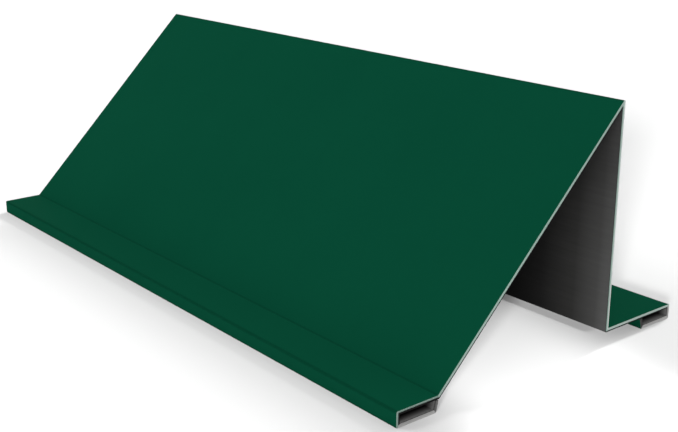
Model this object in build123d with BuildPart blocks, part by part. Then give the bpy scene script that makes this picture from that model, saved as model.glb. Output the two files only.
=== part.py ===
"""A snow guard for a pitched roof: one strip of coated steel sheet, folded along its length.

The section starts at the tip of the front hem, goes down and under it to the front lip, over the
front foot, up the sloped face to the ridge, straight down the back, out along the rear foot and
round the rear lip into the rear hem. The coated side of the sheet faces outwards all the way.

Every size is in millimetres. The strip runs along X and stands on its two hems at Z = 0, with the
sloped face towards -Y. The origin is at the middle of the floor rectangle that the strip covers.
"""

from build123d import *
import os

# The sheet, pressed nearly sharp at its folds
length = 222.6
sheet_thickness = 1.1
inside_bend_radius = 0.1
outside_bend_radius = 0.4

# The folds, measured on the coated side of the sheet and to the sharp corners of the section
front_foot_width = 13.6
slope_run = 65.5
back_height = 65.0
rear_foot_width = 28.4

# The hems: a lip down from each foot, a base under it, and an end turned up to just below the foot
hem_height = 4.5
hem_top_width = 13.8
hem_base_width = 13.0
hem_gap = 0.3

# Heights of the feet, the ridge and the tips of the hems above the roof
foot_level = hem_height
ridge_level = foot_level + back_height
hem_tip_level = foot_level - sheet_thickness - hem_gap

# Places across the guard, from the front lip to the rear lip
section_depth = front_foot_width + slope_run + rear_foot_width
front_lip_y = -section_depth / 2
slope_foot_y = front_lip_y + front_foot_width
back_y = slope_foot_y + slope_run
rear_lip_y = back_y + rear_foot_width

# Radii of a bend on the coated side and on the other side of the sheet
coat_outside = (outside_bend_radius, inside_bend_radius)
coat_inside = (inside_bend_radius, outside_bend_radius)

bends = [
    ((front_lip_y + hem_base_width, 0), coat_outside),
    ((front_lip_y, 0), coat_outside),
    ((front_lip_y, foot_level), coat_outside),
    ((slope_foot_y, foot_level), coat_inside),
    ((back_y, ridge_level), coat_outside),
    ((back_y, foot_level), coat_inside),
    ((rear_lip_y, foot_level), coat_outside),
    ((rear_lip_y, 0), coat_outside),
    ((rear_lip_y - hem_base_width, 0), coat_outside),
]
front_hem_tip = (front_lip_y + hem_top_width, hem_tip_level)
rear_hem_tip = (rear_lip_y - hem_top_width, hem_tip_level)


def moved_to_the_right(points, distance):
    """Return the corners of the same path drawn at a distance to its right."""
    legs = [(Vector(end) - Vector(start)).normalized() for start, end in zip(points, points[1:])]
    normals = [Vector(leg.Y, -leg.X) for leg in legs]
    moved = [Vector(points[0]) + normals[0] * distance]
    for corner, before, after in zip(points[1:-1], normals, normals[1:]):
        moved.append(Vector(corner) + (before + after) * (distance / (1 + before.dot(after))))
    moved.append(Vector(points[-1]) + normals[-1] * distance)
    return moved


coated_corners = [front_hem_tip, *(corner for corner, radii in bends), rear_hem_tip]
bare_corners = moved_to_the_right(coated_corners, sheet_thickness)

with BuildPart() as guard_profile:
    with BuildSketch(Plane.YZ):
        with BuildLine():
            FilletPolyline(*coated_corners, radius=[on_coat for corner, (on_coat, on_bare) in bends])
            FilletPolyline(*bare_corners, radius=[on_bare for corner, (on_coat, on_bare) in bends])
            Line(coated_corners[0], bare_corners[0])
            Line(coated_corners[-1], bare_corners[-1])
        make_face()
    extrude(amount=length / 2, both=True)

guard_profile.part.label = "guard_profile"

os.makedirs("parts", exist_ok=True)
export_step(guard_profile.part, "parts/guard_profile.step")
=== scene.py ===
"""A folded sheet snow guard, dressed for the studio.

The guard is one strip of steel sheet folded along its length. Its outside has a matt green coat, its
inside a thin grey back coat, and its two ends show the bare cut edge of the sheet.

Sizes are in metres. The guard lies along X and stands on its two hems at Z = 0, with the sloped face
towards -Y.
"""

import logging
import math
from dataclasses import astuple, dataclass, field
from enum import Enum

import bmesh
import bpy
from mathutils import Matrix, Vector


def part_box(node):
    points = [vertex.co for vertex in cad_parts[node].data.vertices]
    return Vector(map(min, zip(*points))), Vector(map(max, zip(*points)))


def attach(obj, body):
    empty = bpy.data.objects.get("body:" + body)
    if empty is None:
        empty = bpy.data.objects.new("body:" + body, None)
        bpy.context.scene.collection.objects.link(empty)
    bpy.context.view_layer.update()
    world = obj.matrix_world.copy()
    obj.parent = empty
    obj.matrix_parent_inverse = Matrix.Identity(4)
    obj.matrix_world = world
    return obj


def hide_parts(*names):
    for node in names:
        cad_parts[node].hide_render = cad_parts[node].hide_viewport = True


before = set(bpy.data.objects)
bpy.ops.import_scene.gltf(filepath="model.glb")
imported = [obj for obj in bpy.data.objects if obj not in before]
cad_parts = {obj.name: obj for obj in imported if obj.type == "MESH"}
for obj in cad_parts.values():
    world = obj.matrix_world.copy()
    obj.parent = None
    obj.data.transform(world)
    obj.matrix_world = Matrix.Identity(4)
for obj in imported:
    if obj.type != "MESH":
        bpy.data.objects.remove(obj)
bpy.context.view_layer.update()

log = logging.getLogger("snow_guard")

MM = 0.001
GUARD_NODE = "guard_profile"

Colour = tuple[float, float, float]
ColourStops = tuple[tuple[float, Colour], ...]
Span = tuple[float, float]
Socket = bpy.types.NodeSocket
Row = list[bmesh.types.BMVert]


def opaque(colour: Colour) -> tuple[float, float, float, float]:
    """Return a colour with full alpha, as Blender's colour sockets take it."""
    return (*colour, 1.0)


class SheetFace(Enum):
    """The faces of the sheet that get a finish of their own, in the order of the material slots."""

    COAT = 0
    BACK_COAT = 1
    BRIGHT_CUT = 2
    TORN_CUT = 3


@dataclass(frozen=True)
class EdgeLook:
    """How the cut edge looks along one flat stretch of the section.

    The blade leaves a bright band next to the coat and a torn band behind it. The bright band is painted
    darker as shade close to the roof, from its coated side to its other side, and inside a hem the back
    coat is painted as shade.
    """

    bright_share: float
    # The painted shade of the bright band next to the coat and at the back.
    coat_side_shade: float = 0.0
    back_side_shade: float = 0.0
    # How far the back coat takes the painted shade of a hem.
    hem_shade: float = 0.0

    def towards(self, other: "EdgeLook", share: float) -> "EdgeLook":
        """Return the look part of the way from this one to another."""
        pairs = zip(astuple(self), astuple(other))
        return EdgeLook(*(start + (end - start) * share for start, end in pairs))


@dataclass(frozen=True)
class Station:
    """One place along the folded section: a point on the coat and the point behind it.

    The fold is 1 in a bend, where the coat is painted darker as shade, and 0 on a flat.
    """

    coat: Vector
    back: Vector
    edge: EdgeLook
    fold: float = 0.0


@dataclass(frozen=True)
class Bend:
    """A fold of the sheet, given by the sharp corner of its coated side."""

    corner: tuple[float, float]
    coat_outside: bool = True


@dataclass
class GuardSection:
    """The folded section, from the tip of the front hem to the tip of the rear hem.

    The folds are measured on the coated side of the sheet, to the sharp corners of the section.
    """

    sheet_thickness: float = 1.1 * MM
    inside_bend_radius: float = 0.1 * MM
    outside_bend_radius: float = 0.4 * MM
    front_foot_width: float = 13.6 * MM
    slope_run: float = 65.5 * MM
    back_height: float = 65.0 * MM
    rear_foot_width: float = 28.4 * MM
    hem_height: float = 4.5 * MM
    hem_top_width: float = 13.8 * MM
    hem_base_width: float = 13.0 * MM
    hem_gap: float = 0.3 * MM
    steps_per_bend: int = 8
    # How far the painted shade of a bend carries onto the flat beside it.
    fold_shoulder: float = 0.45 * MM

    @property
    def depth(self) -> float:
        """The width across the guard, from lip to lip."""
        return self.front_foot_width + self.slope_run + self.rear_foot_width

    def bends(self) -> list[Bend]:
        """List the folds.

        Returns:
            The folds in order, from the front hem to the rear hem.
        """
        front_lip = -self.depth / 2
        rear_lip = self.depth / 2
        slope_foot = front_lip + self.front_foot_width
        back = slope_foot + self.slope_run
        ridge = self.hem_height + self.back_height
        return [
            Bend((front_lip + self.hem_base_width, 0)),
            Bend((front_lip, 0)),
            Bend((front_lip, self.hem_height)),
            Bend((slope_foot, self.hem_height), coat_outside=False),
            Bend((back, ridge)),
            Bend((back, self.hem_height), coat_outside=False),
            Bend((rear_lip, self.hem_height)),
            Bend((rear_lip, 0)),
            Bend((rear_lip - self.hem_base_width, 0)),
        ]

    def edge_looks(self) -> list[EdgeLook]:
        """List how the cut edge looks along the flats.

        Returns:
            The look along each flat in order, from the front hem to the rear hem: the bright band's
            share, its painted shade next to the coat and at the back, and how far the back coat
            takes a hem's painted shade.
        """
        # The painted shade on each flat, darkest in the hems.
        front_hem_end = EdgeLook(0.94, 0.88, 0.93, hem_shade=1.0)
        rear_hem_end = EdgeLook(0.94, 0.96, 0.985, hem_shade=1.0)
        hem_base = EdgeLook(0.94, 0.60, 0.74, hem_shade=1.0)
        front_lip = EdgeLook(0.50, 0.22, 0.34, hem_shade=1.0)
        rear_lip = EdgeLook(0.94, 0.70, 0.90, hem_shade=1.0)
        front_foot = EdgeLook(0.42, 0.31, 0.40)
        slope = EdgeLook(0.60, 0.20, 0.20)
        back = EdgeLook(0.94, 0.02, 0.36)
        rear_foot = EdgeLook(0.61, 0.16, 0.16)
        front = [front_hem_end, hem_base, front_lip, front_foot]
        return [*front, slope, back, rear_foot, rear_lip, hem_base, rear_hem_end]

    def tips(self) -> tuple[tuple[float, float], tuple[float, float]]:
        """Find where the sheet begins and ends.

        Returns:
            The coated corner of the front hem's tip, and that of the rear hem's tip.
        """
        level = self.hem_height - self.sheet_thickness - self.hem_gap
        reach = self.depth / 2 - self.hem_top_width
        return (-reach, level), (reach, level)

    def stations(self) -> list[Station]:
        """Walk along the section.

        Returns:
            The places along it, with the round of each bend in even steps.
        """
        first, last = (Vector(tip) for tip in self.tips())
        bends = self.bends()
        looks = self.edge_looks()
        corners = [first, *(Vector(bend.corner) for bend in bends), last]
        found = [self.straight_end(first, corners[1] - first, looks[0])]
        for index, bend in enumerate(bends):
            found.extend(self.round(bend, corners[index:index + 3], looks[index], looks[index + 1]))
        found.append(self.straight_end(last, last - corners[-2], looks[-1]))
        return found

    def straight_end(self, tip: Vector, heading: Vector, look: EdgeLook) -> Station:
        """Return the station at a tip of the sheet, which is cut square.

        Args:
            tip: The coated corner of the tip.
            heading: The way in which the path runs there.
            look: The look of the cut edge there.

        Returns:
            The station, with its back point one sheet away to the right of the path.
        """
        way = heading.normalized()
        return Station(tip, tip + Vector((way.y, -way.x)) * self.sheet_thickness, look)

    def round(
        self, bend: Bend, corners: list[Vector], before: EdgeLook, after: EdgeLook
    ) -> list[Station]:
        """Return the stations round one bend, with a flat shoulder on each side of it.

        Args:
            bend: The fold.
            corners: The corner before it, its own and the one after it, on the coated side.
            before: The look of the cut edge ahead of the bend.
            after: The look of the cut edge past the bend.

        Returns:
            The stations, whose coat and back points lie on an arc each.
        """
        radii = (self.outside_bend_radius, self.inside_bend_radius)
        coat_radius, back_radius = radii if bend.coat_outside else reversed(radii)
        start, corner, end = corners
        back_way, on_way = (start - corner).normalized(), (end - corner).normalized()
        half = back_way.angle(on_way) / 2
        inward = (back_way + on_way).normalized()
        mitre = self.sheet_thickness / math.sin(half)
        back_corner = corner + inward * (mitre if bend.coat_outside else -mitre)
        coat_centre = corner + inward * (coat_radius / math.sin(half))
        back_centre = back_corner + inward * (back_radius / math.sin(half))
        first_spoke = back_way / math.tan(half) - inward / math.sin(half)
        last_spoke = on_way / math.tan(half) - inward / math.sin(half)
        first = math.atan2(first_spoke.y, first_spoke.x)
        turn = math.remainder(math.atan2(last_spoke.y, last_spoke.x) - first, math.tau)
        found = []
        for step in range(self.steps_per_bend + 1):
            share = step / self.steps_per_bend
            angle = first + turn * share
            spoke = Vector((math.cos(angle), math.sin(angle)))
            coat, back = coat_centre + spoke * coat_radius, back_centre + spoke * back_radius
            found.append(Station(coat, back, before.towards(after, share), fold=1.0))
        return [self.shoulder(found[0], back_way), *found, self.shoulder(found[-1], on_way)]

    def shoulder(self, side: Station, way: Vector) -> Station:
        """Return a station on the flat beside a bend, where the painted shade of the fold ends."""
        shift = way * self.fold_shoulder
        return Station(side.coat + shift, side.back + shift, side.edge)


@dataclass
class NodeBench:
    """A node tree with short calls to add and join its nodes."""

    tree: bpy.types.NodeTree
    column: int = 0
    column_width: float = 190.0
    row_height: float = 120.0
    rows: int = 4

    def add(self, kind: str, **settings: object) -> bpy.types.Node:
        """Add a node and set its properties and inputs.

        Args:
            kind: Blender's name for the node type.
            settings: Property values by name. A name that ends in an underscore and a number sets
                that input socket instead.

        Returns:
            The new node.
        """
        node = self.tree.nodes.new(kind)
        node.location = (self.column * self.column_width, -(self.column % self.rows) * self.row_height)
        self.column += 1
        for name, value in settings.items():
            head, _, index = name.rpartition("_")
            if head == "input" and index.isdigit():
                node.inputs[int(index)].default_value = value
            else:
                setattr(node, name, value)
        return node

    def join(self, source: Socket, target: Socket) -> None:
        """Link an output socket to an input socket."""
        self.tree.links.new(source, target)

    def maths(self, operation: str, first: Socket | float, second: Socket | float | None = None) -> Socket:
        """Add a Math node.

        Args:
            operation: Blender's name for the sum.
            first: A socket or a number.
            second: A socket or a number, if the sum takes two.

        Returns:
            The output socket.
        """
        node = self.add("ShaderNodeMath", operation=operation)
        for socket, value in zip(node.inputs, (first, second)):
            if isinstance(value, Socket):
                self.join(value, socket)
            elif value is not None:
                socket.default_value = value
        return node.outputs[0]

    def spread(self, value: Socket, span: Span) -> Socket:
        """Map a value from 0 to 1 onto a span.

        Args:
            value: The socket with the value.
            span: What 0 and 1 become.

        Returns:
            The output socket.
        """
        node = self.add("ShaderNodeMapRange", input_3=span[0], input_4=span[1])
        self.join(value, node.inputs[0])
        return node.outputs[0]

    def background_rays(self) -> Socket:
        """Tell the rays that show a background from those that only carry light.

        Returns:
            The output socket: 1 for the rays of the camera, of gloss and of glass, and 0 for others.
        """
        rays = self.add("ShaderNodeLightPath")
        seen = self.maths("MAXIMUM", rays.outputs["Is Camera Ray"], rays.outputs["Is Glossy Ray"])
        return self.maths("MAXIMUM", seen, rays.outputs["Is Transmission Ray"])


class EffectGroups:
    """The effects that several finishes share, each a node group that is built once."""

    grain_detail: float = 3.0
    cloud_detail: float = 2.0

    def __init__(self) -> None:
        """Build the groups."""
        self.grain = self.build_grain()
        self.cloud = self.build_cloud()
        self.cut_end = self.build_cut_end()

    @staticmethod
    def start(
        name: str, inputs: dict[str, float], output: str
    ) -> tuple[NodeBench, bpy.types.Node, bpy.types.Node]:
        """Make an empty group with number inputs and one number output.

        Args:
            name: The group's name.
            inputs: Each input's name with its usual value.
            output: The output's name.

        Returns:
            The bench, the group's input node and its output node.
        """
        tree = bpy.data.node_groups.new(name, "ShaderNodeTree")
        for label, value in inputs.items():
            given = tree.interface.new_socket(name=label, in_out="INPUT", socket_type="NodeSocketFloat")
            given.default_value = value
        tree.interface.new_socket(name=output, in_out="OUTPUT", socket_type="NodeSocketFloat")
        bench = NodeBench(tree)
        return bench, bench.add("NodeGroupInput"), bench.add("NodeGroupOutput")

    def build_grain(self) -> bpy.types.NodeTree:
        """Build fine grain, drawn out along the way that the strip was rolled.

        Returns:
            A group that puts out a height from 0 to 1.
        """
        bench, given, result = self.start(
            "fine_grain", {"Grain per Metre": 2000.0, "Draw Out": 1.0, "Roughness": 0.6}, "Height"
        )
        place = bench.add("ShaderNodeTexCoord")
        stretch = bench.add("ShaderNodeMapping", vector_type="TEXTURE")
        scale = bench.add("ShaderNodeCombineXYZ", input_1=1.0, input_2=1.0)
        bench.join(given.outputs["Draw Out"], scale.inputs[0])
        bench.join(place.outputs["Object"], stretch.inputs["Vector"])
        bench.join(scale.outputs[0], stretch.inputs["Scale"])
        noise = bench.add("ShaderNodeTexNoise")
        noise.inputs["Detail"].default_value = self.grain_detail
        bench.join(stretch.outputs[0], noise.inputs["Vector"])
        bench.join(given.outputs["Grain per Metre"], noise.inputs["Scale"])
        bench.join(given.outputs["Roughness"], noise.inputs["Roughness"])
        bench.join(noise.outputs[0], result.inputs["Height"])
        return bench.tree

    def build_cloud(self) -> bpy.types.NodeTree:
        """Build the slow drift in tone that a coating line leaves.

        Returns:
            A group that puts out a value from 0 to 1.
        """
        bench, given, result = self.start("slow_cloud", {"Patch per Metre": 30.0, "Contrast": 1.0}, "Value")
        place = bench.add("ShaderNodeTexCoord")
        noise = bench.add("ShaderNodeTexNoise")
        noise.inputs["Detail"].default_value = self.cloud_detail
        bench.join(place.outputs["Object"], noise.inputs["Vector"])
        bench.join(given.outputs["Patch per Metre"], noise.inputs["Scale"])
        centred = bench.maths("SUBTRACT", noise.outputs[0], 0.5)
        stronger = bench.maths("MULTIPLY", centred, given.outputs["Contrast"])
        shifted = bench.add("ShaderNodeMath", operation="ADD", use_clamp=True, input_1=0.5)
        bench.join(stronger, shifted.inputs[0])
        bench.join(shifted.outputs[0], result.inputs["Value"])
        return bench.tree

    def build_cut_end(self) -> bpy.types.NodeTree:
        """Build the mask of the last stretch of coat beside a cut end, where it is rubbed; it also sets how
        far the painted light from the open ends reaches.

        Returns:
            A group that puts out 1 at the cut and 0 past the reach.
        """
        bench, given, result = self.start("cut_end_rub_and_light", {"Half Length": 0.1, "Reach": 0.001}, "Mask")
        place = bench.add("ShaderNodeTexCoord")
        parts = bench.add("ShaderNodeSeparateXYZ")
        bench.join(place.outputs["Object"], parts.inputs[0])
        along = bench.maths("ABSOLUTE", parts.outputs[0])
        left = bench.maths("SUBTRACT", given.outputs["Half Length"], along)
        share = bench.maths("DIVIDE", left, given.outputs["Reach"])
        rub = bench.add("ShaderNodeMapRange", interpolation_type="SMOOTHSTEP", input_3=1.0, input_4=0.0)
        bench.join(share, rub.inputs[0])
        bench.join(rub.outputs[0], result.inputs["Mask"])
        return bench.tree


@dataclass
class Finish:
    """A material under way: its bench and its Principled shader."""

    name: str
    metallic: float = 0.0
    specular: float = 0.5
    bench: NodeBench = field(init=False)
    shader: bpy.types.Node = field(init=False)
    material: bpy.types.Material = field(init=False)

    def __post_init__(self) -> None:
        """Make the material with its shader, which holds the plain numbers on its own sockets."""
        self.material = bpy.data.materials.new(self.name)
        self.material.use_nodes = True
        self.bench = NodeBench(self.material.node_tree)
        self.shader = self.material.node_tree.nodes["Principled BSDF"]
        self.shader.inputs["Metallic"].default_value = self.metallic
        self.shader.inputs["Specular IOR Level"].default_value = self.specular

    def group(self, tree: bpy.types.NodeTree, **values: float) -> Socket:
        """Place a shared effect.

        Args:
            tree: The node group.
            values: Its inputs by name, with underscores for spaces.

        Returns:
            The group's output socket.
        """
        node = self.bench.add("ShaderNodeGroup", node_tree=tree)
        for name, value in values.items():
            node.inputs[name.replace("_", " ")].default_value = value
        return node.outputs[0]

    def attribute(self, name: str) -> Socket:
        """Return a number that the mesh carries on its points."""
        return self.bench.add("ShaderNodeAttribute", attribute_name=name).outputs["Fac"]

    def blend(
        self, share: Socket | float, first: Socket | Colour, second: Socket | Colour, mode: str = "MIX"
    ) -> Socket:
        """Mix two colours by a share.

        Args:
            share: The number or socket that gives the second colour's share.
            first: A colour or a socket.
            second: A colour or a socket.
            mode: Blender's name for the way of mixing.

        Returns:
            The mixed colour.
        """
        node = self.bench.add("ShaderNodeMix", data_type="RGBA", blend_type=mode)
        for socket, value in zip((node.inputs[0], node.inputs[6], node.inputs[7]), (share, first, second)):
            if isinstance(value, Socket):
                self.bench.join(value, socket)
            else:
                socket.default_value = opaque(value) if isinstance(value, tuple) else value
        return node.outputs[2]

    def times(self, tone: Socket, factor: Socket) -> Socket:
        """Multiply a colour by a number."""
        return self.blend(1.0, tone, factor, mode="MULTIPLY")

    def ramp(self, value: Socket, stops: ColourStops) -> Socket:
        """Turn a value from 0 to 1 into a colour.

        Args:
            value: The socket with the value.
            stops: Places from 0 to 1 with their colours.

        Returns:
            The colour.
        """
        node = self.bench.add("ShaderNodeValToRGB")
        marks = node.color_ramp.elements
        for place, _ in stops[2:]:
            marks.new(place)
        for mark, (place, colour) in zip(marks, stops):
            mark.position = place
            mark.color = opaque(colour)
        self.bench.join(value, node.inputs[0])
        return node.outputs[0]

    def surface(self, tone: Socket, grain: Socket, roughness: Span, depth: float) -> bpy.types.Material:
        """Give the shader its colour, and a roughness and a relief that follow the same grain.

        Args:
            tone: The colour.
            grain: The socket with the grain, from 0 to 1.
            roughness: The roughness where the grain is 0 and where it is 1.
            depth: How deep the grain is, in metres.

        Returns:
            The finished material.
        """
        self.bench.join(tone, self.shader.inputs["Base Color"])
        self.bench.join(self.bench.spread(grain, roughness), self.shader.inputs["Roughness"])
        self.relief(grain, depth)
        return self.material

    def relief(self, height: Socket, depth: float) -> None:
        """Give the surface a fine relief.

        Args:
            height: The socket with the height, from 0 to 1.
            depth: How deep that relief is, in metres.
        """
        bump = self.bench.add("ShaderNodeBump")
        bump.inputs["Distance"].default_value = depth
        self.bench.join(height, bump.inputs["Height"])
        self.bench.join(bump.outputs[0], self.shader.inputs["Normal"])


@dataclass(frozen=True)
class GreenCoat:
    """The matt polyester coat outside: even dark green, painted a little darker in the bends as shade."""

    light: Colour = (0.0024, 0.0677, 0.0344)
    dark: Colour = (0.0020, 0.0627, 0.0320)
    # Painted shade: the coat's colour along the bends.
    folded: Colour = (0.0017, 0.050, 0.0255)
    rubbed: Colour = (0.0040, 0.078, 0.0420)
    rub_reach: float = 0.35 * MM
    patches_per_metre: float = 24.0
    patch_contrast: float = 1.6
    peel_per_metre: float = 2600.0
    peel_depth: float = 0.003 * MM
    roughness: Span = (0.60, 0.76)
    specular: float = 0.003

    def material(self, effects: EffectGroups, half_length: float) -> bpy.types.Material:
        """Mix the coat.

        Args:
            effects: The shared node groups.
            half_length: From the middle of the guard to a cut end.

        Returns:
            The finished coat.
        """
        finish = Finish("green_coat", specular=self.specular)
        cloud = finish.group(
            effects.cloud, Patch_per_Metre=self.patches_per_metre, Contrast=self.patch_contrast
        )
        tone = finish.blend(cloud, self.dark, self.light)
        # The bends are painted darker as shade.
        tone = finish.blend(finish.attribute("fold"), tone, self.folded)
        rub = finish.group(effects.cut_end, Half_Length=half_length, Reach=self.rub_reach)
        tone = finish.blend(rub, tone, self.rubbed)
        peel = finish.group(effects.grain, Grain_per_Metre=self.peel_per_metre, Draw_Out=1.0, Roughness=0.5)
        return finish.surface(tone, peel, self.roughness, self.peel_depth)


@dataclass(frozen=True)
class GreyBackCoat:
    """The thin grey lacquer inside, with faint roller streaks, painted paler towards the open ends as the
    light that falls in there.

    It is painted darker under the ridge as shade, and nearly black inside the hems as shade, except for a
    short painted pale stretch at their open ends.
    """

    # Painted light and shade: the lacquer is drawn paler towards the open ends and darker deeper inside.
    painted_shade_inwards: ColourStops = (
        (0.0, (0.0075, 0.0075, 0.0075)),
        (0.35, (0.015, 0.015, 0.015)),
        (0.78, (0.034, 0.034, 0.033)),
        (0.97, (0.065, 0.065, 0.064)),
        (1.0, (0.088, 0.088, 0.087)),
    )
    painted_light_reach: float = 40.0 * MM
    # Painted shade: the lacquer is drawn darker towards the ridge.
    ridge_painted_shade: float = 0.55
    ridge_shade_from: float = 20.0 * MM
    ridge_shade_to: float = 62.0 * MM
    # Painted shade inside the hems, with painted light for a short stretch at each open end.
    hem_painted_light: Colour = (0.170, 0.168, 0.166)
    hem_painted_shade: Colour = (0.0025, 0.0025, 0.0025)
    hem_painted_light_reach: float = 3.3 * MM
    patches_per_metre: float = 36.0
    patch_contrast: float = 1.8
    streaks_per_metre: float = 900.0
    streak_draw_out: float = 24.0
    streak_tones: Span = (0.86, 1.42)
    streak_depth: float = 0.003 * MM
    roughness: Span = (0.5, 0.7)
    specular: float = 0.004

    def material(self, effects: EffectGroups, half_length: float) -> bpy.types.Material:
        """Mix the back coat.

        Args:
            effects: The shared node groups.
            half_length: From the middle of the guard to a cut end.

        Returns:
            The finished back coat.
        """
        finish = Finish("grey_back_coat", specular=self.specular)
        # Painted light and shade: paler towards the open ends, darker deeper inside.
        painted_light_by_end = finish.group(effects.cut_end, Half_Length=half_length, Reach=self.painted_light_reach)
        tone = finish.ramp(painted_light_by_end, self.painted_shade_inwards)
        # Painted shade: darker higher up, under the ridge.
        height = finish.bench.add("ShaderNodeSeparateXYZ")
        finish.bench.join(finish.bench.add("ShaderNodeTexCoord").outputs["Object"], height.inputs[0])
        shade = finish.bench.add("ShaderNodeMapRange", input_1=self.ridge_shade_from, input_2=self.ridge_shade_to)
        shade.inputs[3].default_value, shade.inputs[4].default_value = 1.0, self.ridge_painted_shade
        finish.bench.join(height.outputs["Z"], shade.inputs[0])
        tone = finish.times(tone, shade.outputs[0])
        # Painted shade inside the hems, with painted light at their open ends.
        hem_light_by_end = finish.group(effects.cut_end, Half_Length=half_length, Reach=self.hem_painted_light_reach)
        hem_painted_tone = finish.blend(hem_light_by_end, self.hem_painted_shade, self.hem_painted_light)
        tone = finish.blend(finish.attribute("hem_shade"), tone, hem_painted_tone)
        cloud = finish.group(
            effects.cloud, Patch_per_Metre=self.patches_per_metre, Contrast=self.patch_contrast
        )
        streaks = finish.group(
            effects.grain,
            Grain_per_Metre=self.streaks_per_metre, Draw_Out=self.streak_draw_out, Roughness=0.6,
        )
        both = finish.bench.maths("MULTIPLY", cloud, streaks)
        tone = finish.times(tone, finish.bench.spread(both, self.streak_tones))
        return finish.surface(tone, streaks, self.roughness, self.streak_depth)


@dataclass(frozen=True)
class BrightCut:
    """The part of a cut edge that the blade sheared smooth: bare pale metal, painted darker as shade, most
    at the hems.
    """

    # Painted shade: from pale bare metal at 0 to nearly black at 1.
    tones: ColourStops = (
        (0.0, (0.660, 0.680, 0.670)),
        (0.2, (0.272, 0.364, 0.324)),
        (0.4, (0.160, 0.226, 0.198)),
        (0.6, (0.460, 0.456, 0.450)),
        (1.0, (0.010, 0.010, 0.010)),
    )
    scores_per_metre: float = 3500.0
    score_tones: Span = (0.82, 1.18)
    score_depth: float = 0.006 * MM
    roughness: Span = (0.45, 0.7)
    metallic: float = 0.2
    specular: float = 0.1

    def material(self, effects: EffectGroups) -> bpy.types.Material:
        """Mix the bright band.

        Args:
            effects: The shared node groups.

        Returns:
            The finished bright band.
        """
        finish = Finish("bright_cut", metallic=self.metallic, specular=self.specular)
        scores = finish.group(
            effects.grain, Grain_per_Metre=self.scores_per_metre, Draw_Out=1.0, Roughness=0.7
        )
        # The bright band is painted darker as shade, most inside the hems.
        tone = finish.ramp(finish.attribute("cut_shade"), self.tones)
        tone = finish.times(tone, finish.bench.spread(scores, self.score_tones))
        return finish.surface(tone, scores, self.roughness, self.score_depth)


@dataclass(frozen=True)
class TornCutAndShade:
    """The part of a cut edge that broke off behind the blade: rough, and painted nearly black as shade."""

    # Partly the torn band's own rough tone, partly painted shade: it is drawn nearly black.
    light: Colour = (0.016, 0.016, 0.016)
    dark: Colour = (0.004, 0.004, 0.004)
    tears_per_metre: float = 5000.0
    tear_depth: float = 0.03 * MM
    roughness: Span = (0.6, 0.9)
    specular: float = 0.03

    def material(self, effects: EffectGroups) -> bpy.types.Material:
        """Mix the torn band.

        Args:
            effects: The shared node groups.

        Returns:
            The finished torn band.
        """
        finish = Finish("torn_cut_and_shade", specular=self.specular)
        tears = finish.group(
            effects.grain, Grain_per_Metre=self.tears_per_metre, Draw_Out=1.0, Roughness=0.8
        )
        tone = finish.blend(tears, self.dark, self.light)
        return finish.surface(tone, tears, self.roughness, self.tear_depth)


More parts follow.
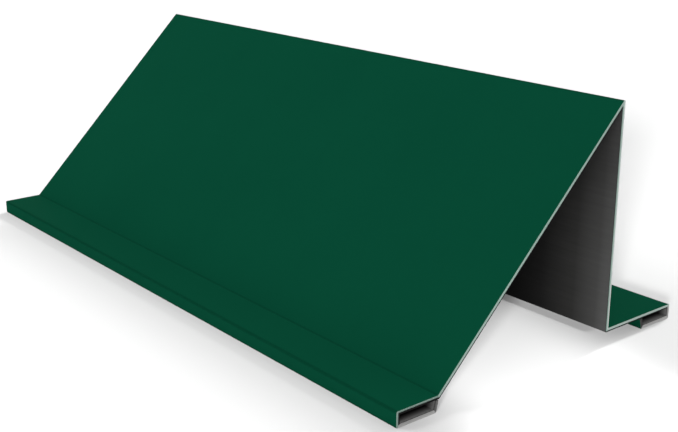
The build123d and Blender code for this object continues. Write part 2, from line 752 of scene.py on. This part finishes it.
@dataclass
class FoldedSheet:
    """The guard itself: the section drawn out along the length, with a sheared edge at each end.

    The rim steps give how the edge rolls over next to the coat, and the tear steps how it falls back
    behind the bright band. Each step is a share of the thickness and a share of the set-back.
    """

    section: GuardSection
    length: float
    roll_over: float = 0.04 * MM
    rim_steps: tuple[Span, ...] = ((0.0, 1.0), (0.03, 0.3), (0.07, 0.0))
    tear_slant: float = 0.10 * MM
    tear_steps: tuple[Span, ...] = ((0.0, 0.0), (0.03, 0.35))
    sharp_from_degrees: float = 32.0

    def rings(self, edge: EdgeLook) -> list[tuple[float, float, float]]:
        """Lay out the cut edge at one station.

        Args:
            edge: The look of the cut edge there.

        Returns:
            Its levels from coat to back: share of the thickness, set-back and painted shade.
        """
        rim = [(share, self.roll_over * part, edge.coat_side_shade) for share, part in self.rim_steps]
        tear = [
            (edge.bright_share + share, self.tear_slant * part, edge.back_side_shade)
            for share, part in self.tear_steps
        ]
        return [*rim, *tear, (1.0, self.tear_slant, edge.back_side_shade)]

    def build(self) -> bpy.types.Object:
        """Make the sheet's mesh.

        Returns:
            The sheet as one closed mesh, with a material index for each kind of face.
        """
        mesh = bpy.data.meshes.new("folded_sheet")
        shape = bmesh.new()
        layers = [shape.verts.layers.float.new(name) for name in ("fold", "cut_shade", "hem_shade")]
        stations = self.section.stations()
        rows = [self.row(shape, layers, station) for station in stations]
        for before, after in zip(rows, rows[1:]):
            self.skin(shape, before, after)
        for row, flip in ((rows[0], True), (rows[-1], False)):
            self.tip(shape, row, flip)
        shape.normal_update()
        shape.to_mesh(mesh)
        shape.free()
        mesh.set_sharp_from_angle(angle=math.radians(self.sharp_from_degrees))
        piece = bpy.data.objects.new("folded_sheet", mesh)
        bpy.context.scene.collection.objects.link(piece)
        return piece

    def row(self, shape: bmesh.types.BMesh, layers: list[bmesh.types.BMLayerItem], station: Station) -> Row:
        """Add the points of one station, round the sheet's thickness from one end to the other.

        Args:
            shape: The mesh under way.
            layers: The layers for how far a point is into a bend, how much painted shade the cut edge
            takes and how far the back coat takes a hem's painted shade.
            station: The place along the section.

        Returns:
            The points of one cut edge from coat to back, then those of the other from back to coat.
        """
        fold, cut_shade, hem_shade = layers
        row = []
        for end in (1, -1):
            levels = self.rings(station.edge)
            for share, set_back, cut_shade_level in levels if end == 1 else reversed(levels):
                across = station.coat.lerp(station.back, share)
                point = shape.verts.new((end * (self.length / 2 - set_back), across.x, across.y))
                point[fold] = station.fold
                point[cut_shade] = cut_shade_level
                point[hem_shade] = station.edge.hem_shade
                row.append(point)
        return row

    def skin(self, shape: bmesh.types.BMesh, before: Row, after: Row) -> None:
        """Join two rows of points with faces all round the thickness.

        Args:
            shape: The mesh under way.
            before: The points of one station.
            after: The points of the next station.
        """
        count = len(before)
        for index in range(count):
            following = (index + 1) % count
            face = shape.faces.new((before[index], before[following], after[following], after[index]))
            face.material_index = self.kind(index, count).value
            face.smooth = True

    def kind(self, index: int, count: int) -> SheetFace:
        """Tell which face of the sheet a strip of faces belongs to.

        Args:
            index: The strip's place round the thickness.
            count: The number of strips round the thickness.

        Returns:
            The face of the sheet.
        """
        half = count // 2
        if index == count - 1:
            return SheetFace.COAT
        if index == half - 1:
            return SheetFace.BACK_COAT
        level = index if index < half else count - 2 - index
        return SheetFace.TORN_CUT if level >= len(self.rim_steps) else SheetFace.BRIGHT_CUT

    def tip(self, shape: bmesh.types.BMesh, row: Row, flip: bool) -> None:
        """Close the sheet at one of its long edges, which was slit bright all the way.

        Args:
            shape: The mesh under way.
            row: The points of the station at that edge.
            flip: True at the start of the section, where the face looks back along it.
        """
        half = len(row) // 2
        for index in range(half - 1):
            corners = [row[index], row[index + 1], row[-2 - index], row[-1 - index]]
            face = shape.faces.new(reversed(corners) if flip else corners)
            face.material_index = SheetFace.BRIGHT_CUT.value
            face.smooth = True

    def dress(self, piece: bpy.types.Object, effects: EffectGroups) -> None:
        """Give each kind of face its finish, in the order of SheetFace.

        Args:
            piece: The sheet's object.
            effects: The shared node groups.
        """
        half = self.length / 2
        for material in (
            GreenCoat().material(effects, half),
            GreyBackCoat().material(effects, half),
            BrightCut().material(effects),
            TornCutAndShade().material(effects),
        ):
            piece.data.materials.append(material)

    def place(self, effects: EffectGroups) -> bpy.types.Object:
        """Build the sheet, dress it and let it stand for the plain solid.

        Args:
            effects: The shared node groups.

        Returns:
            The sheet's object.
        """
        piece = self.build()
        self.dress(piece, effects)
        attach(piece, "root")
        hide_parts(GUARD_NODE)
        return piece


@dataclass(frozen=True)
class Lamp:
    """A far lamp, given by where its light comes from."""

    name: str
    comes_from: Vector
    strength: float
    spread_degrees: float


@dataclass(frozen=True)
class Spot:
    """A lamp with a soft-edged cone, given by where it hangs and what it aims at."""

    name: str
    place: Vector
    aim: Vector
    watts: float
    cone_degrees: float
    softness: float = 0.7
    size: float = 12.0 * MM


@dataclass
class Studio:
    """The white floor, the even white surroundings and the lamps.

    Soft light from all round and the guard lamps fall on the guard and the floor. The lamps that
    draw the guard's shadow light only the floor.
    """

    floor_side: float = 8.0
    floor_drop: float = 0.02 * MM
    floor_roughness: float = 0.9
    floor_seen_colour: Colour = (0.25, 0.25, 0.25)
    floor_bounce_colour: Colour = (0.32, 0.32, 0.32)
    floor_glow: float = 0.15
    sky_level: float = 0.70
    guard_lamps: tuple[Lamp, ...] = (
        Lamp("front_right_fill", Vector((0.55, -0.80, 0.06)), strength=1.0, spread_degrees=40.0),
        Lamp("top_fill", Vector((0.10, 0.50, 1.00)), strength=0.80, spread_degrees=50.0),
    )
    floor_lamps: tuple[Lamp, ...] = (
        Lamp("floor_from_behind", Vector((-0.25, 1.30, 0.98)), strength=6.6, spread_degrees=9.5),
        Lamp("floor_from_front", Vector((0.668, -1.00, 0.280)), strength=10.8, spread_degrees=5.0),
        Lamp("floor_from_left", Vector((-1.00, -1.00, 1.20)), strength=2.9, spread_degrees=24.0),
    )
    floor_spot: Spot = Spot(
        "floor_at_the_opening",
        place=Vector((330.0, -40.0, 90.0)) * MM,
        aim=Vector((107.0, -7.0, 0.0)) * MM,
        watts=13.0,
        cone_degrees=17.5,
    )

    def build(self) -> None:
        """Set up the floor, the surroundings and the lamps."""
        floor = self.floor()
        self.surroundings()
        only_floor = bpy.data.collections.new("only_floor")
        only_floor.objects.link(floor)
        for lamp in self.guard_lamps:
            self.hang(lamp)
        for hung in (*(self.hang(lamp) for lamp in self.floor_lamps), self.hang_spot(self.floor_spot)):
            hung.light_linking.receiver_collection = only_floor

    def floor(self) -> bpy.types.Object:
        """Lay the floor, whose glow shows only where a background shows.

        Returns:
            The floor.
        """
        mesh = bpy.data.meshes.new("floor")
        shape = bmesh.new()
        bmesh.ops.create_grid(shape, x_segments=1, y_segments=1, size=self.floor_side / 2)
        shape.to_mesh(mesh)
        shape.free()
        floor = bpy.data.objects.new("floor", mesh)
        floor.location.z = -self.floor_drop
        bpy.context.scene.collection.objects.link(floor)
        finish = Finish("floor_white", specular=0.0)
        seen = finish.bench.background_rays()
        tone = finish.blend(seen, self.floor_bounce_colour, self.floor_seen_colour)
        finish.bench.join(tone, finish.shader.inputs["Base Color"])
        finish.shader.inputs["Roughness"].default_value = self.floor_roughness
        glow = finish.bench.add("ShaderNodeEmission")
        finish.bench.join(finish.bench.maths("MULTIPLY", seen, self.floor_glow), glow.inputs["Strength"])
        both = finish.bench.add("ShaderNodeAddShader")
        finish.bench.join(finish.shader.outputs[0], both.inputs[0])
        finish.bench.join(glow.outputs[0], both.inputs[1])
        output = finish.material.node_tree.nodes["Material Output"]
        finish.bench.join(both.outputs[0], output.inputs["Surface"])
        mesh.materials.append(finish.material)
        return floor

    def surroundings(self) -> None:
        """Make the world white where it shows and a soft even light to everything else."""
        world = bpy.data.worlds.new("studio")
        world.use_nodes = True
        bpy.context.scene.world = world
        bench = NodeBench(world.node_tree)
        background = world.node_tree.nodes["Background"]
        background.inputs["Color"].default_value = opaque((1.0, 1.0, 1.0))
        level = bench.spread(bench.background_rays(), (self.sky_level, 1.0))
        bench.join(level, background.inputs["Strength"])

    def hang(self, lamp: Lamp) -> bpy.types.Object:
        """Hang a far soft lamp that shines on the guard's place.

        Args:
            lamp: The lamp.

        Returns:
            Its object.
        """
        data = bpy.data.lights.new(lamp.name, "SUN")
        data.energy = lamp.strength
        data.angle = math.radians(lamp.spread_degrees)
        return self.put(data, lamp.comes_from, -lamp.comes_from)

    def hang_spot(self, spot: Spot) -> bpy.types.Object:
        """Hang a spotlight.

        Args:
            spot: The spotlight.

        Returns:
            Its object.
        """
        data = bpy.data.lights.new(spot.name, "SPOT")
        data.energy = spot.watts
        data.spot_size = math.radians(spot.cone_degrees)
        data.spot_blend = spot.softness
        data.shadow_soft_size = spot.size
        return self.put(data, spot.place, spot.aim - spot.place)

    @staticmethod
    def put(data: bpy.types.Light, place: Vector, way: Vector) -> bpy.types.Object:
        """Make a lamp's object.

        Args:
            data: The lamp's own settings.
            place: Where it hangs.
            way: The way in which it shines.

        Returns:
            The object.
        """
        hung = bpy.data.objects.new(data.name, data)
        hung.location = place
        hung.rotation_euler = way.to_track_quat("-Z", "Y").to_euler()
        bpy.context.scene.collection.objects.link(hung)
        return hung


@dataclass(frozen=True)
class PhotoCamera:
    """The camera at the photograph's viewing angle, as fitted to the guard's straight edges."""

    place: Vector = field(default_factory=lambda: Vector((288.89, -216.14, 128.95)) * MM)
    turn_degrees: float = 50.799
    tilt_down_degrees: float = 17.538
    focal_pixels: float = 1129.75
    frame_width_pixels: float = 678.0
    sensor_width: float = 36.0
    nearest: float = 0.01
    furthest: float = 50.0

    def build(self) -> None:
        """Make the camera and use it for the scene."""
        data = bpy.data.cameras.new("photo_camera")
        data.sensor_fit = "HORIZONTAL"
        data.sensor_width = self.sensor_width
        data.lens = self.focal_pixels / self.frame_width_pixels * self.sensor_width
        data.clip_start = self.nearest
        data.clip_end = self.furthest
        camera = bpy.data.objects.new("photo_camera", data)
        camera.location = self.place
        camera.rotation_euler = (
            math.radians(90.0 - self.tilt_down_degrees), 0.0, math.radians(self.turn_degrees)
        )
        bpy.context.scene.collection.objects.link(camera)
        bpy.context.scene.camera = camera


def main() -> None:
    """Build the guard, its surroundings and the camera."""
    logging.basicConfig(level=logging.INFO, format="%(name)s: %(message)s")
    PhotoCamera().build()
    low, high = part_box(GUARD_NODE)
    section = GuardSection()
    log.info("section %.1f mm deep, solid %.1f mm deep", section.depth / MM, (high - low).y / MM)
    sheet = FoldedSheet(section, length=(high - low).x).place(EffectGroups())
    log.info("%s: %d faces", sheet.name, len(sheet.data.polygons))
    Studio().build()
    bpy.context.scene.view_settings.view_transform = "Standard"


if __name__ == "__main__":
    main()
